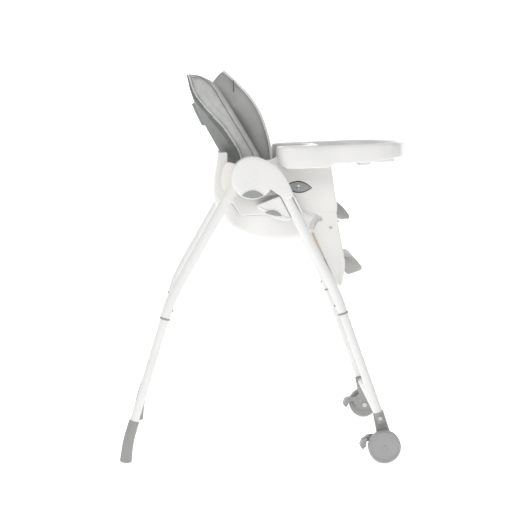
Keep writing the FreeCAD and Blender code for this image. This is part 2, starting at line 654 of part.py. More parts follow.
rim = plan("rim", [(105, 62), (78, 126), (0, 152), (0, 246), (34, 270), (252, 270), (330, 224), (360, 130),
                   (371, 48)])
well = plan("well", [(119, 68), (88, 138), (14, 163), (14, 238), (40, 256), (247, 256), (318, 213), (346, 126),
                     (357, 46)])
under = plan("under", [(110, 66), (82, 131), (5, 156), (5, 243), (36, 265), (250, 265), (325, 221), (355, 128),
                       (366, 47)])
tray = body("tray")
place(tray, tray_at[0], 0, tray_at[1], -tray_tilt)
floor_slab(tray, rim, -8.5, 49)
arm = flat("arm", [(34, 216), (132, 216), (150, 269), (34, 269)])
for side, s in sides:
    floor_slab(tray, [(u, v * s) for u, v in arm], -38, 10)
ease(tray, 26, lambda middle, tangent: abs(tangent.z) > 0.99 and middle.x > 200 and middle.z > -34)
floor_slab(tray, well, 20, 48, cut=True)
floor_slab(tray, under, -58, 100, cut=True)
for side, s in sides:
    back = [(-9, s * (side_in - 7)), (16, s * (side_in - 7)), (16, s * (side_out + 7)), (-9, s * (side_out + 7))]
    floor_slab(tray, back, -33, 50.2, cut=True)
    for inner, outer in ((side_in - 6, side_in - 0.7), (side_out + 0.7, side_out + 6)):
        rib = [(12, s * inner), (318, s * inner), (318, s * outer), (12, s * outer)]
        floor_slab(tray, rib, -22, 32)
liner = body("tray_liner")
place(liner, tray_at[0], 0, tray_at[1], -tray_tilt)
lining = plan("lining", [(119.6, 68.6), (88.6, 138.6), (14.6, 163.6), (14.6, 237.6), (40.4, 255.4),
                         (246.6, 255.4), (317.4, 212.6), (345.4, 126), (356.3, 46)])
dish = plan("dish", [(125, 73), (94, 144), (20, 169), (20, 234), (43, 250), (244, 250), (313, 209), (340, 124),
                     (350, 45)])
floor_slab(liner, lining, 5, 17)
floor_slab(liner, dish, 14, 30, cut=True)
lever = body("tray_lever")
place(lever, tray_at[0], 0, tray_at[1], -tray_tilt)
bar = [(232, -46), (274, -46), (274, 46), (232, 46)]
floor_slab(lever, bar, -30, 42)
ease(lever, 8, upright)

# ---- snap buttons that hold the lower tubes ----
snap_r = size("snap_r", 3.0)
snap_up = size("snap_up", 24.0)
for name, ring, end, lean, forward in (("front_", front_ring, front_end, lower_lean, -1),
                                       ("rear_", rear_ring, rear_end, rear_lean, 1)):
    piece = body(name + "snaps")
    place(piece, ring[0], 0, ring[1], lean)
    hole_x = ring[0] + snap_up * sine(lean) + forward * tube_r * cosine(lean)
    hole_z = ring[1] + snap_up * cosine(lean) - forward * tube_r * sine(lean)
    for side, s in sides:
        rod(piece, forward * (tube_r - 2), s * leg_y, snap_up, 90, snap_r, 9)
        for holed in ("leg_", "tube_"):
            rod(made[name + holed + side], hole_x, 0, hole_z, lean + 90, snap_r + fit, 20, cut=True)

doc.recompute()
for name, piece in made.items():
    for item in [piece] + list(piece.Group):
        if "Invalid" in item.State or "Error" in item.State:
            raise RuntimeError("%s: %s could not be worked out" % (name, item.Name))
    if piece.Shape.isNull() or not piece.Shape.isValid():
        raise RuntimeError("%s has no valid solid" % name)
os.makedirs("parts", exist_ok=True)
for name, piece in made.items():
    piece.Shape.exportStep("parts/%s.step" % piece.Label)
print(len(made), "pieces")
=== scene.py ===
# Baby high chair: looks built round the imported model. Sizes are in millimetres until a mesh is made.
import math
import bmesh
import bpy
import numpy as np
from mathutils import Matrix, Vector


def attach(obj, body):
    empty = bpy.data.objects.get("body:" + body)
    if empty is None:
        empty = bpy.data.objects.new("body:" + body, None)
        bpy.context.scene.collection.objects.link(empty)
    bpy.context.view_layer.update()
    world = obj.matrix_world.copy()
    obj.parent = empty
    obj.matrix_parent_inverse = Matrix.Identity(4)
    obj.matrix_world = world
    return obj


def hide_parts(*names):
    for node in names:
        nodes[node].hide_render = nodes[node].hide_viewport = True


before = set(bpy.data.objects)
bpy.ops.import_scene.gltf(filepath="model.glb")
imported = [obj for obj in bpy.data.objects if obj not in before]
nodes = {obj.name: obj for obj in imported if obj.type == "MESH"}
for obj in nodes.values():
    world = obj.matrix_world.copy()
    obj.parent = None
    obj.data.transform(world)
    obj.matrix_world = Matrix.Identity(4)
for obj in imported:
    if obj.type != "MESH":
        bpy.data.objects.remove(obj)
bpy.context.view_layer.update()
sides = (("right", -1), ("left", 1))
print("stage: frame loaded,", len(nodes), "nodes")

# materials


def newMaterial(name, colour, rough, metal=0.0):
    made = bpy.data.materials.new(name)
    made.use_nodes = True
    shader = made.node_tree.nodes["Principled BSDF"]
    shader.inputs["Base Color"].default_value = (*colour, 1)
    shader.inputs["Roughness"].default_value = rough
    shader.inputs["Metallic"].default_value = metal
    return made, made.node_tree, shader


def addNode(tree, kind, **values):
    node = tree.nodes.new(kind)
    for key, value in values.items():
        if key in node.inputs:
            node.inputs[key].default_value = value
        else:
            setattr(node, key, value)
    return node


def noiseOn(tree, place, scale, detail=3.0):
    node = addNode(tree, "ShaderNodeTexNoise", Scale=scale, Detail=detail)
    tree.links.new(place.outputs["Object"], node.inputs["Vector"])
    return node


def rampOf(tree, source, low, high, start=0.0, end=1.0):
    ramp = tree.nodes.new("ShaderNodeValToRGB")
    ramp.color_ramp.elements[0].position = start
    ramp.color_ramp.elements[1].position = end
    ramp.color_ramp.elements[0].color = (*low, 1)
    ramp.color_ramp.elements[1].color = (*high, 1)
    tree.links.new(source, ramp.inputs["Fac"])
    return ramp


def times(colour, amount):
    return tuple(min(1.0, part * amount) for part in colour)


def mouldedPlastic(name, colour, rough=0.34, grain=1400.0, depth=0.03, drift=0.03, coat=0.0):
    # colour drifts a little over a hand's width; fine moulded grain is a bump, and handling dulls some areas
    made, tree, shader = newMaterial(name, colour, rough)
    place = tree.nodes.new("ShaderNodeTexCoord")
    broad = noiseOn(tree, place, 9.0, 2.0)
    tone = rampOf(tree, broad.outputs["Fac"], times(colour, 1 - drift), times(colour, 1 + drift), 0.3, 0.7)
    tree.links.new(tone.outputs["Color"], shader.inputs["Base Color"])
    smears = noiseOn(tree, place, 38.0, 4.0)
    gloss = rampOf(tree, smears.outputs["Fac"], (rough - 0.03,) * 3, (rough + 0.04,) * 3, 0.3, 0.75)
    tree.links.new(gloss.outputs["Color"], shader.inputs["Roughness"])
    fine = noiseOn(tree, place, grain, 2.0)
    bump = addNode(tree, "ShaderNodeBump", Strength=depth * 2, Distance=0.0001)
    tree.links.new(fine.outputs["Fac"], bump.inputs["Height"])
    tree.links.new(bump.outputs["Normal"], shader.inputs["Normal"])
    shader.inputs["Coat Weight"].default_value = coat
    shader.inputs["Coat Roughness"].default_value = 0.12
    return made


def wovenCloth(name, colour, dark, pitch=1.5, depth=0.5, sheen=0.25, grain=0.0):
    # threads pitch mm apart: the higher of the waves along x and z, times the wave along y, over blotches
    made, tree, shader = newMaterial(name, colour, 0.88)
    place = tree.nodes.new("ShaderNodeTexCoord")
    heights = []
    for axis in ("X", "Y", "Z"):
        band = addNode(tree, "ShaderNodeTexWave", Scale=2 * math.pi / (20 * pitch / 1000), Distortion=0.6)
        band.bands_direction = axis
        band.inputs["Detail"].default_value = 1.0
        band.inputs["Detail Scale"].default_value = 2.0
        tree.links.new(place.outputs["Object"], band.inputs["Vector"])
        heights.append(band.outputs["Fac"])
    first = addNode(tree, "ShaderNodeMath", operation="MAXIMUM")
    tree.links.new(heights[0], first.inputs[0])
    tree.links.new(heights[2], first.inputs[1])
    second = addNode(tree, "ShaderNodeMath", operation="MULTIPLY")
    tree.links.new(first.outputs[0], second.inputs[0])
    tree.links.new(heights[1], second.inputs[1])
    blotch = noiseOn(tree, place, 60.0, 6.0)
    mixed = addNode(tree, "ShaderNodeMath", operation="MULTIPLY_ADD")
    mixed.inputs[1].default_value = 0.35
    tree.links.new(second.outputs[0], mixed.inputs[0])
    tree.links.new(blotch.outputs["Fac"], mixed.inputs[2])
    tone = rampOf(tree, mixed.outputs[0], dark, colour, 0.3, 0.95)
    tree.links.new(tone.outputs["Color"], shader.inputs["Base Color"])
    bump = addNode(tree, "ShaderNodeBump", Strength=depth, Distance=0.0006)
    tree.links.new(second.outputs[0], bump.inputs["Height"])
    tree.links.new(bump.outputs["Normal"], shader.inputs["Normal"])
    shader.inputs["Sheen Weight"].default_value = sheen
    shader.inputs["Sheen Roughness"].default_value = 0.5
    return made


def coatedCloth(name, colour, dark, pebble=420.0):
    # wipe-clean coated cloth: pebbled leather-like cells over a broad soft change of tone
    made, tree, shader = newMaterial(name, colour, 0.6)
    place = tree.nodes.new("ShaderNodeTexCoord")
    cells = addNode(tree, "ShaderNodeTexVoronoi", Scale=pebble)
    tree.links.new(place.outputs["Object"], cells.inputs["Vector"])
    broad = noiseOn(tree, place, 14.0, 5.0)
    tone = rampOf(tree, broad.outputs["Fac"], dark, colour, 0.3, 0.72)
    tree.links.new(tone.outputs["Color"], shader.inputs["Base Color"])
    rough = rampOf(tree, cells.outputs["Distance"], (0.5,) * 3, (0.72,) * 3)
    tree.links.new(rough.outputs["Color"], shader.inputs["Roughness"])
    bump = addNode(tree, "ShaderNodeBump", Strength=0.35, Distance=0.0004)
    tree.links.new(cells.outputs["Distance"], bump.inputs["Height"])
    tree.links.new(bump.outputs["Normal"], shader.inputs["Normal"])
    shader.inputs["Sheen Weight"].default_value = 0.12
    return made


def brushedSteel(name, colour=(0.6, 0.6, 0.61)):
    # turning marks: noise stretched thin along Y
    made, tree, shader = newMaterial(name, colour, 0.32, 1.0)
    place = tree.nodes.new("ShaderNodeTexCoord")
    spread = addNode(tree, "ShaderNodeMapping")
    spread.inputs["Scale"].default_value = (1.0, 30.0, 1.0)
    tree.links.new(place.outputs["Object"], spread.inputs["Vector"])
    marks = addNode(tree, "ShaderNodeTexNoise", Scale=90.0, Detail=4.0)
    tree.links.new(spread.outputs["Vector"], marks.inputs["Vector"])
    gloss = rampOf(tree, marks.outputs["Fac"], (0.22,) * 3, (0.45,) * 3)
    tree.links.new(gloss.outputs["Color"], shader.inputs["Roughness"])
    tone = rampOf(tree, marks.outputs["Fac"], times(colour, 0.85), times(colour, 1.1))
    tree.links.new(tone.outputs["Color"], shader.inputs["Base Color"])
    return made


warmWhite = mouldedPlastic("warmWhitePlastic", (0.885, 0.878, 0.855), 0.36)
# tan painted shade: this colour stands for the shading on the calf rest's back face, not a tan part
backFaceShade = mouldedPlastic("stripTanPlastic", (0.62, 0.5, 0.38), 0.45)
shellWhite = mouldedPlastic("shellWhitePlastic", (0.89, 0.885, 0.87), 0.3, coat=0.15)
tubeWhite = mouldedPlastic("tubeWhitePaint", (0.88, 0.88, 0.87), 0.24, 2600.0, 0.015, 0.02, 0.4)
linerPale = mouldedPlastic("linerPalePlastic", (0.8, 0.805, 0.808), 0.3)
greyPlastic = mouldedPlastic("greyPlastic", (0.36, 0.365, 0.35), 0.46, 900.0, 0.06)
ledgeGrey = mouldedPlastic("ledgeGreyPlastic", (0.5, 0.505, 0.49), 0.5, 700.0, 0.08)
wheelGrey = mouldedPlastic("wheelGreyRubber", (0.4, 0.405, 0.4), 0.62, 700.0, 0.08, 0.05)
buttonGrey = mouldedPlastic("buttonGreyPlastic", (0.36, 0.37, 0.37), 0.42, 1100.0, 0.05)
darkPlastic = mouldedPlastic("darkPlastic", (0.085, 0.087, 0.09), 0.45, 900.0, 0.06)
creamPlastic = mouldedPlastic("creamPlastic", (0.86, 0.845, 0.79), 0.42)
steel = brushedSteel("brushedSteel")
wingCloth = wovenCloth("wingCloth", (0.56, 0.56, 0.55), (0.44, 0.44, 0.432), 1.6, 0.35)
rearCloth = wovenCloth("rearCloth", (0.24, 0.255, 0.245), (0.17, 0.18, 0.172), 1.6, 0.35)
# painted shade: the insert cloth's greys are set darker than the wing cloth to carry the shade the near wing casts on
# the insert
insertCloth = coatedCloth("insertCloth", (0.44, 0.447, 0.44), (0.36, 0.367, 0.36))
weltCloth = wovenCloth("weltCloth", (0.62, 0.61, 0.58), (0.5, 0.49, 0.46), 1.0, 0.4)
paleWelt = wovenCloth("paleWelt", (0.88, 0.87, 0.84), (0.78, 0.77, 0.74), 1.0, 0.3)
strapCloth = wovenCloth("strapCloth", (0.2, 0.2, 0.205), (0.1, 0.1, 0.105), 1.1, 0.8)
print("stage: materials made")

# surfaces


def softLine(points, reach, corner=7, edge=3):
    # each corner P becomes (1-t)^2 A + 2t(1-t) P + t^2 B with A and B reach away along its edges;
    # edges between corners are divided evenly
    points = np.array(points, float)
    before = np.roll(points, 1, 0) - points
    after = np.roll(points, -1, 0) - points
    longBefore = np.linalg.norm(before, axis=1, keepdims=True)
    longAfter = np.linalg.norm(after, axis=1, keepdims=True)
    reach = np.broadcast_to(np.array(reach, float), (len(points),))[:, None]
    start = points + before / longBefore * np.minimum(reach, 0.46 * longBefore)
    stop = points + after / longAfter * np.minimum(reach, 0.46 * longAfter)
    t = np.linspace(0, 1, corner)[None, :, None]
    curve = (1 - t) ** 2 * start[:, None] + 2 * t * (1 - t) * points[:, None] + t ** 2 * stop[:, None]
    e = np.linspace(0, 1, edge + 2)[1:-1][None, :, None]
    straight = stop[:, None] + (np.roll(start, -1, 0) - stop)[:, None] * e
    return np.concatenate([curve, straight], 1).reshape(-1, 2)


def openLine(points, reach, corner=9, edge=2):
    # the same softening for a path with two ends
    points = np.array(points, float)
    if len(points) == 2:
        return points[0] + (points[1] - points[0]) * np.linspace(0, 1, 8)[:, None]
    closed = softLine(points, reach, corner, edge).reshape(len(points), corner + edge, 2)
    inner = closed[1:-1].reshape(-1, 2)
    lead = points[0] + (inner[0] - points[0]) * np.linspace(0, 1, edge + 2)[:-1, None]
    tail = inner[-edge - 1] + (points[-1] - inner[-edge - 1]) * np.linspace(0, 1, edge + 2)[1:, None]
    return np.concatenate([lead, inner[:-edge] if edge else inner, tail])


def insetLine(line, amount):
    # moves each point of a closed line inwards along its normal
    along = np.roll(line, -1, 0) - np.roll(line, 1, 0)
    long = np.linalg.norm(along, axis=1, keepdims=True)
    along = along / np.where(long > 1e-9, long, 1)
    area = np.sum(line[:, 0] * np.roll(line[:, 1], -1) - np.roll(line[:, 0], -1) * line[:, 1])
    inward = np.stack([-along[:, 1], along[:, 0]], 1) * (1 if area > 0 else -1)
    return line + inward * np.reshape(amount, (-1, 1))


def makeMesh(name, points, faces, material, smooth=38):
    mesh = bpy.data.meshes.new(name)
    mesh.from_pydata((np.asarray(points) / 1000).tolist(), [], faces)
    mesh.validate()
    shell = bmesh.new()
    shell.from_mesh(mesh)
    bmesh.ops.remove_doubles(shell, verts=shell.verts, dist=2e-6)
    bmesh.ops.recalc_face_normals(shell, faces=shell.faces)
    shell.to_mesh(mesh)
    shell.free()
    mesh.shade_smooth()
    mesh.set_sharp_from_angle(angle=math.radians(smooth))
    piece = bpy.data.objects.new(name, mesh)
    bpy.context.scene.collection.objects.link(piece)
    mesh.materials.append(material)
    return piece


def ringStack(name, rings, material, capped=True, smooth=38):
    # rings of equal count joined in order by four-sided faces, with a flat cap on each end ring
    rings = np.asarray(rings, float)
    count, around = rings.shape[:2]
    index = np.arange(count * around).reshape(count, around)
    onward = np.roll(index, -1, 1)
    quads = np.stack([index[:-1], onward[:-1], onward[1:], index[1:]], -1).reshape(-1, 4).tolist()
    if capped:
        quads.append(index[0][::-1].tolist())
        quads.append(index[-1].tolist())
    return makeMesh(name, rings.reshape(-1, 3), quads, material, smooth)


def standing(line, y):
    # a line in the side view placed at depth y, which may be one value or one for each point
    return np.stack([line[:, 0], np.broadcast_to(np.asarray(y, float), (len(line),)), line[:, 1]], 1)


def slabRings(line, low, high, roundIn, roundY, steps=6):
    # side outline carried from y = low to y = high; near each face the inset is roundIn(1 - sin a)
    # and the depth roundY(1 - cos a)
    turn = np.linspace(0, math.pi / 2, steps)
    inset = np.concatenate([[roundIn + 0.5], roundIn * (1 - np.sin(turn))])
    depth = np.concatenate([[0], roundY * (1 - np.cos(turn))])
    first = [standing(insetLine(line, i), low + d) for i, d in zip(inset, depth)]
    last = [standing(insetLine(line, i), high - d) for i, d in zip(inset[::-1], depth[::-1])]
    return np.array(first + last)


def slab(name, line, low, high, material, roundIn=3.0, roundY=3.0, steps=6):
    return ringStack(name, slabRings(line, min(low, high), max(low, high), roundIn, roundY, steps), material)


def dome(name, line, centre, profile, side, material):
    # outline scaled about a centre: each profile pair is (scale, |y|); smoothly closed at the last pair
    centre = np.array(centre, float)
    rings = [standing(centre + (line - centre) * scale, side * y) for scale, y in profile]
    return ringStack(name, rings, material)


def turned(name, centre, profile, side, material, around=72):
    # profile of (|y|, radius) pairs turned about an axle along Y
    angle = np.linspace(0, 2 * math.pi, around, endpoint=False)
    rings = [np.stack([centre[0] + r * np.cos(angle), np.full(around, side * y), centre[1] + r * np.sin(angle)], 1)
             for y, r in profile]
    return ringStack(name, rings, material, smooth=50)


def pipeAlong(name, path, y, radius, material, around=32, flat=1.0):
    # circle of the given radius carried along a path in the side view, square to it; flat squeezes it in Y
    path = np.asarray(path, float)
    along = np.gradient(path, axis=0)
    along /= np.linalg.norm(along, axis=1, keepdims=True)
    across = np.stack([-along[:, 1], along[:, 0]], 1)
    angle = np.linspace(0, 2 * math.pi, around, endpoint=False)
    radius = np.broadcast_to(np.asarray(radius, float), (len(path),))
    reach = radius[:, None] * np.cos(angle)[None]
    x = path[:, :1] + across[:, :1] * reach
    z = path[:, 1:] + across[:, 1:] * reach
    rings = np.stack([x, y + flat * radius[:, None] * np.sin(angle)[None], z], -1)
    return ringStack(name, rings, material, smooth=45)


def strapAlong(name, path, y, width, thick, material):
    # flat webbing: a rounded rectangle width x thick carried along a path
    path = np.asarray(path, float)
    along = np.gradient(path, axis=0)
    along /= np.linalg.norm(along, axis=1, keepdims=True)
    across = np.stack([-along[:, 1], along[:, 0]], 1)
    angle = np.linspace(0, 2 * math.pi, 28, endpoint=False)
    wide = np.sign(np.cos(angle)) * np.abs(np.cos(angle)) ** 0.25 * width / 2
    tall = np.sign(np.sin(angle)) * np.abs(np.sin(angle)) ** 0.5 * thick / 2
    x = path[:, :1] + across[:, :1] * tall
    z = path[:, 1:] + across[:, 1:] * tall
    return ringStack(name, np.stack([x, y + np.broadcast_to(wide, x.shape), z], -1), material)


def joinPieces(first, *others):
    bpy.ops.object.select_all(action="DESELECT")
    for item in (first, *others):
        item.select_set(True)
    bpy.context.view_layer.objects.active = first
    bpy.ops.object.join()
    return first


def finish(piece, body, slot, *replaced):
    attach(piece, body)
    if replaced:
        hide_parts(*replaced)
    return piece


def meshOf(piece):
    # the evaluated mesh of a piece with its modifiers, put back into the piece
    bpy.context.view_layer.update()
    graph = bpy.context.evaluated_depsgraph_get()
    mesh = bpy.data.meshes.new_from_object(piece.evaluated_get(graph))
    piece.modifiers.clear()
    piece.data = mesh
    return piece


def puff(piece, voxel=5.0, limit=6.0, pressure=4.0):
    # closed cloth blown up a little: even mesh, cloth pressure for twenty frames, movement held under limit
    settle = piece.modifiers.new("even", "REMESH")
    settle.mode = "VOXEL"
    settle.voxel_size = voxel / 1000
    meshOf(piece)
    count = len(piece.data.vertices)
    rest = np.empty(count * 3)
    piece.data.vertices.foreach_get("co", rest)
    rest = rest.reshape(-1, 3)
    cloth = piece.modifiers.new("cloth", "CLOTH")
    cloth.settings.use_pressure = True
    cloth.settings.uniform_pressure_force = pressure
    cloth.settings.effector_weights.gravity = 0
    cloth.settings.quality = 5
    for number in range(1, 21):
        bpy.context.scene.frame_set(number)
    graph = bpy.context.evaluated_depsgraph_get()
    blown = np.empty(count * 3)
    piece.evaluated_get(graph).data.vertices.foreach_get("co", blown)
    piece.modifiers.clear()
    bpy.context.scene.frame_set(1)
    move = blown.reshape(-1, 3) - rest
    far = np.linalg.norm(move, axis=1, keepdims=True)
    move *= np.minimum(1, limit / 1000 / np.maximum(far, 1e-9))
    piece.data.vertices.foreach_set("co", (rest + move).ravel())
    calm = piece.modifiers.new("calm", "SMOOTH")
    calm.iterations = 6
    calm.factor = 0.5
    meshOf(piece)
    piece.data.shade_smooth()
    fine = piece.modifiers.new("fine", "SUBSURF")
    fine.levels = 1
    fine.render_levels = 1
    return piece


def pressSeam(piece, path, depth, width, near=None):
    # stitched channel: points sink depth * exp(-(d / width)^2), d their distance in side view from the path
    count = len(piece.data.vertices)
    place = np.empty(count * 3)
    normal = np.empty(count * 3)
    piece.data.vertices.foreach_get("co", place)
    piece.data.vertices.foreach_get("normal", normal)
    place = place.reshape(-1, 3)
    normal = normal.reshape(-1, 3)
    path = np.asarray(path, float) / 1000
    gap = np.min(np.linalg.norm(place[:, None, [0, 2]] - path[None], axis=2), axis=1)
    sink = depth / 1000 * np.exp(-(gap * 1000 / width) ** 2)
    if near is not None:
        sink = sink * near(place * 1000)
    piece.data.vertices.foreach_set("co", (place - normal * sink[:, None]).ravel())
    piece.data.update()


# legs: front bends at the knee, rear splays back
legs = dict(spread=256.0, radius=13.5, endTurnedIn=0.8, kneeReach=60.0,
            front=[(26, 770), (186.4, 460), (205, 408)],
            rear=[(-97.1, 730.2), (-257, 447.6), (-273, 395)])
for sideName, s in sides:
    for part in ("front", "rear"):
        line = openLine(legs[part], legs["kneeReach"], 14, 6)
        ends = np.full(len(line), legs["radius"])
        ends[-1] -= legs["endTurnedIn"]
        upper = pipeAlong(part + "LegTube_" + sideName, line, s * legs["spread"], ends, tubeWhite, 40)
        finish(upper, part + "_frame", "white_tube", part + "_leg_" + sideName)
print("stage: legs")

# feet and wheels
foot = dict(path=[(-358.4, 114), (-376.2, 55.4), (-383, 0)], top=14.0, low=16.2)
wheel = dict(centre=(318, 44), inner=267.0, outer=295.0, radius=44.0, hub=36.5)
for sideName, s in sides:
    line = openLine(foot["path"], 30, 12, 8)
    share = np.linspace(0, 1, len(line))
    radius = foot["top"] + (foot["low"] - foot["top"]) * share ** 1.5
    radius[0] -= 1.6
    radius[-1] -= 3.5
    line[-1] = (line[-1][0], 0.0)
    drop = line[-2] + (line[-1] - line[-2]) * np.array([[0.5], [0.8]])
    line = np.concatenate([line[:-1], drop, line[-1:]])
    radius = np.concatenate([radius[:-1], [foot["low"] - 0.4, foot["low"] - 1.4], radius[-1:]])
    sleeve = pipeAlong("footSleeve_" + sideName, line, s * legs["spread"], radius, greyPlastic, 44)
    count = len(sleeve.data.vertices)
    place = np.empty(count * 3)
    sleeve.data.vertices.foreach_get("co", place)
    place = place.reshape(-1, 3)
    place[:, 2] = np.maximum(place[:, 2], 0.0)
    sleeve.data.vertices.foreach_set("co", place.ravel())
    finish(sleeve, "rear_frame", "grey_plastic", "rear_foot_" + sideName)
    a, b, r = wheel["inner"], wheel["outer"], wheel["radius"]
    tread = [(a + 0.2, 36.5), (a, 38), (a + 0.6, 41), (a + 2.4, 43.2), (a + 5, r), (b - 5, r), (b - 2.4, 43.2),
             (b - 0.6, 41.2), (b, 38.6), (b - 0.3, 37), (b - 1.4, 36.6)]
    tyre = turned("tyre_" + sideName, wheel["centre"], tread, s, wheelGrey, 96)
    finish(tyre, "wheel_" + sideName, "grey_tyre", "wheel_tyre_" + sideName)
    face = [(a + 2, 36.4), (a + 2, 36.4), (b - 2.2, 36.4), (b - 1.8, 35.6), (b - 1.6, 31), (b - 2.6, 30.4),
            (b - 2.6, 29.4), (b - 1.5, 28.8), (b - 0.9, 20), (b - 0.4, 9), (b - 0.8, 8.2), (b - 0.8, 7.4),
            (b - 0.2, 6.8), (b, 0.02)]
    cap = turned("wheelCap_" + sideName, wheel["centre"], face, s, wheelGrey, 96)
    rivet = turned("wheelRivet_" + sideName, wheel["centre"], [(a + 1, 8), (a + 1, 8), (a - 0.4, 7.2), (a - 1, 5),
                                                               (a - 1.2, 0.02)], s, wheelGrey, 40)
    cap = joinPieces(cap, rivet)
    finish(cap, "wheel_" + sideName, "grey_plastic", "wheel_cap_" + sideName)
print("stage: feet and wheels")

# hub covers: a disc that runs into the leg like a drop
hub = dict(centre=(-38, 770.5), radius=57.0, base=262.5, top=276.2,
           tail=[(87, -62), (112, -50), (93, -6), (64, 34)])


def pressShape(low, high):
    # (scale, depth) pairs of a button: straight wall, rounded edge, slightly crowned face
    return [(0.97, low), (1.0, low), (1.0, high - 1.6), (0.985, high - 0.9), (0.95, high - 0.45), (0.8, high - 0.2),
            (0.4, high), (0.02, high)]


for sideName, s in sides:
    angle = np.radians(np.linspace(62, 338, 60))
    disc = np.stack([np.cos(angle), np.sin(angle)], 1) * hub["radius"]
    tail = openLine([disc[-1], *hub["tail"], disc[0]], 22, 9, 3)[1:-1]
    line = np.concatenate([disc, tail]) + hub["centre"]
    middle = (hub["centre"][0] + 14, hub["centre"][1] - 6)
    base, top = hub["base"], hub["top"]
    shape = [(0.97, base), (1.0, base), (1.0, base + 6), (0.995, base + 8.6), (0.978, base + 10.6),
             (0.94, base + 11.9), (0.85, base + 12.8), (0.66, base + 13.5), (0.4, top), (0.02, top + 0.2)]
    cover = dome("hubDrop_" + sideName, line, middle, shape, s, shellWhite)
    finish(cover, "front_frame", "white_plastic", "hub_cover_" + sideName)
    low = np.radians(np.linspace(238, 302, 24))
    edge = np.stack([np.cos(low), np.sin(low)], 1) * 54.5
    x = np.linspace(edge[-1, 0], edge[0, 0], 24)[1:-1]
    crown = np.stack([x, edge[0, 1] + 13.5 * (1 - (x / edge[-1, 0]) ** 2)], 1)
    lens = np.concatenate([edge, crown]) + hub["centre"]
    press = dome("foldPress_" + sideName, lens, lens.mean(0), pressShape(272.5, 278.6), s, buttonGrey)
    finish(press, "fold_button_" + sideName, "button_grey", "fold_button_" + sideName)
    fan = np.radians(np.linspace(146, 229, 8))
    fan = np.stack([np.cos(fan), np.sin(fan)], 1) * 81 + np.array([-40, 769])
    collar = softLine([(-40, 769), (-58, 800), *fan], [2, 16, 14] + [10] * 6 + [8], 5, 2)
    socket = slab("rearSocket_" + sideName, collar, s * 242.2, s * 261.8, creamPlastic, 3.5, 4)
    sleeve = pipeAlong("socketSleeve_" + sideName, openLine([(-84, 753), (-109, 709)], 5), s * legs["spread"],
                       np.array([13, 14.4, 14.9, 15, 15, 15, 14.9, 14.4]), creamPlastic)
    finish(joinPieces(socket, sleeve), "rear_frame", "white_plastic", "rear_socket_" + sideName)
print("stage: hubs")

# sliders
slide = dict(start=(37.5, 747.8), lean=math.radians(27.36))


def onLeg(pairs):
    # points given forward of the leg's axis and up along it
    pairs = np.array(pairs, float)
    c, w = math.cos(slide["lean"]), math.sin(slide["lean"])
    placed = np.stack([pairs[:, 0] * c - pairs[:, 1] * w, pairs[:, 0] * w + pairs[:, 1] * c], 1)
    return np.array(slide["start"]) + placed


for sideName, s in sides:
    wing = softLine(onLeg([(-86, -14), (-14.6, -22), (-14.6, -90), (-30, -90), (-58, -66)]), [12, 4, 4, 12, 30])
    plate = slab("sliderPlate_" + sideName, wing, s * 242, s * 262.4, shellWhite, 3.5, 4)
    block = softLine(onLeg([(-84, -16), (20, -27), (20, -95), (-24, -95), (-60, -60)]), [14, 4, 6, 14, 30])
    core = slab("sliderCore_" + sideName, block, s * 209, s * 242.2, warmWhite, 2.5, 2.5)
    strip = softLine(onLeg([(14.6, -30), (20.5, -30), (20.5, -88), (14.6, -88)]), 2)
    guard = slab("sliderGuard_" + sideName, strip, s * 242, s * 261, shellWhite, 1, 1.5)
    finish(joinPieces(plate, core, guard), "slider_" + sideName, "slider_plastic", "slider_" + sideName)
    u = np.linspace(-1, 1, 26)
    arc = np.stack([u * 23, -2.5 * (1 - u ** 2)], 1)
    chord = np.stack([-u[1:-1] * 23, 11.5 * (1 - u[1:-1] ** 2)], 1)
    c, w = math.cos(math.radians(-11)), math.sin(math.radians(-11))
    lens = np.concatenate([arc, chord]) @ np.array([[c, w], [-w, c]]) + onLeg([(-52.5, -57)])[0]
    press = dome("heightPress_" + sideName, lens, lens.mean(0), pressShape(257, 265.4), s, buttonGrey)
    finish(press, "height_button_" + sideName, "button_grey", "height_button_" + sideName)
print("stage: sliders")

# seat bowl: outer line and inner line round the seat, closing in to the sides like a boat's bilge
bowl = dict(
    wide=[(-131, 836), (-145, 753), (-143, 712), (-123, 664), (-93, 626), (-29, 596), (60, 590), (98, 600),
          (121, 620), (125, 648)],
    side=[(-129, 833), (-136, 753), (-133, 716), (-116, 676), (-88, 642), (-28, 616), (58, 610), (92, 618),
          (113, 632), (119, 650)],
    brim=[(136, 667.5), (110, 679), (81, 690.5), (40, 679), (0, 667.5), (-35, 665.5), (-69, 663.5), (-104, 712),
          (-104.5, 780), (-105, 836)],
    inside=[(118, 652), (106, 636), (90, 624), (57, 616), (-26, 622), (-82, 648), (-108, 680), (-126, 718),
            (-128, 753), (-124, 836)],
    outer=202.0, bilge=30.0, lip=0.8, notch=dict(half=112.0, behind=-98, floor=738), cornerPoints=9, edgePoints=5)
reach = [5, 30, 30, 30, 40, 50, 50, 30, 14, 8, 6, 8, 20, 20, 20, 20, 24, 24, 10, 5]
stepsOf = (bowl["cornerPoints"], bowl["edgePoints"])
brim = softLine(bowl["side"] + bowl["brim"], reach, *stepsOf)
full = softLine(bowl["wide"] + bowl["brim"], reach, *stepsOf)
wall = softLine(bowl["wide"] + bowl["inside"], reach, *stepsOf)
rings = []
for t in np.linspace(0, math.pi / 2, 10):
    # quarter turn of the bilge: y falls with 1 - cos t while the outline spreads with sin t
    y = bowl["outer"] - bowl["bilge"] * (1 - math.cos(t))
    outerLine = brim + (full - brim) * math.sin(t)
    rings.append(standing(insetLine(outerLine, bowl["lip"]) if t == 0 else outerLine, y))
half = len(bowl["wide"]) * sum(stepsOf)
hollowed = full.copy()
hollowed[half:] = wall[half:]
rings.append(standing(hollowed, y - 0.3))
notch = bowl["notch"]
notched = hollowed.copy()
notched[:, 1] = np.where(notched[:, 0] < notch["behind"], np.minimum(notched[:, 1], notch["floor"]), notched[:, 1])
rings.append(standing(hollowed, notch["half"] + 0.4))
rings.append(standing(notched, notch["half"]))
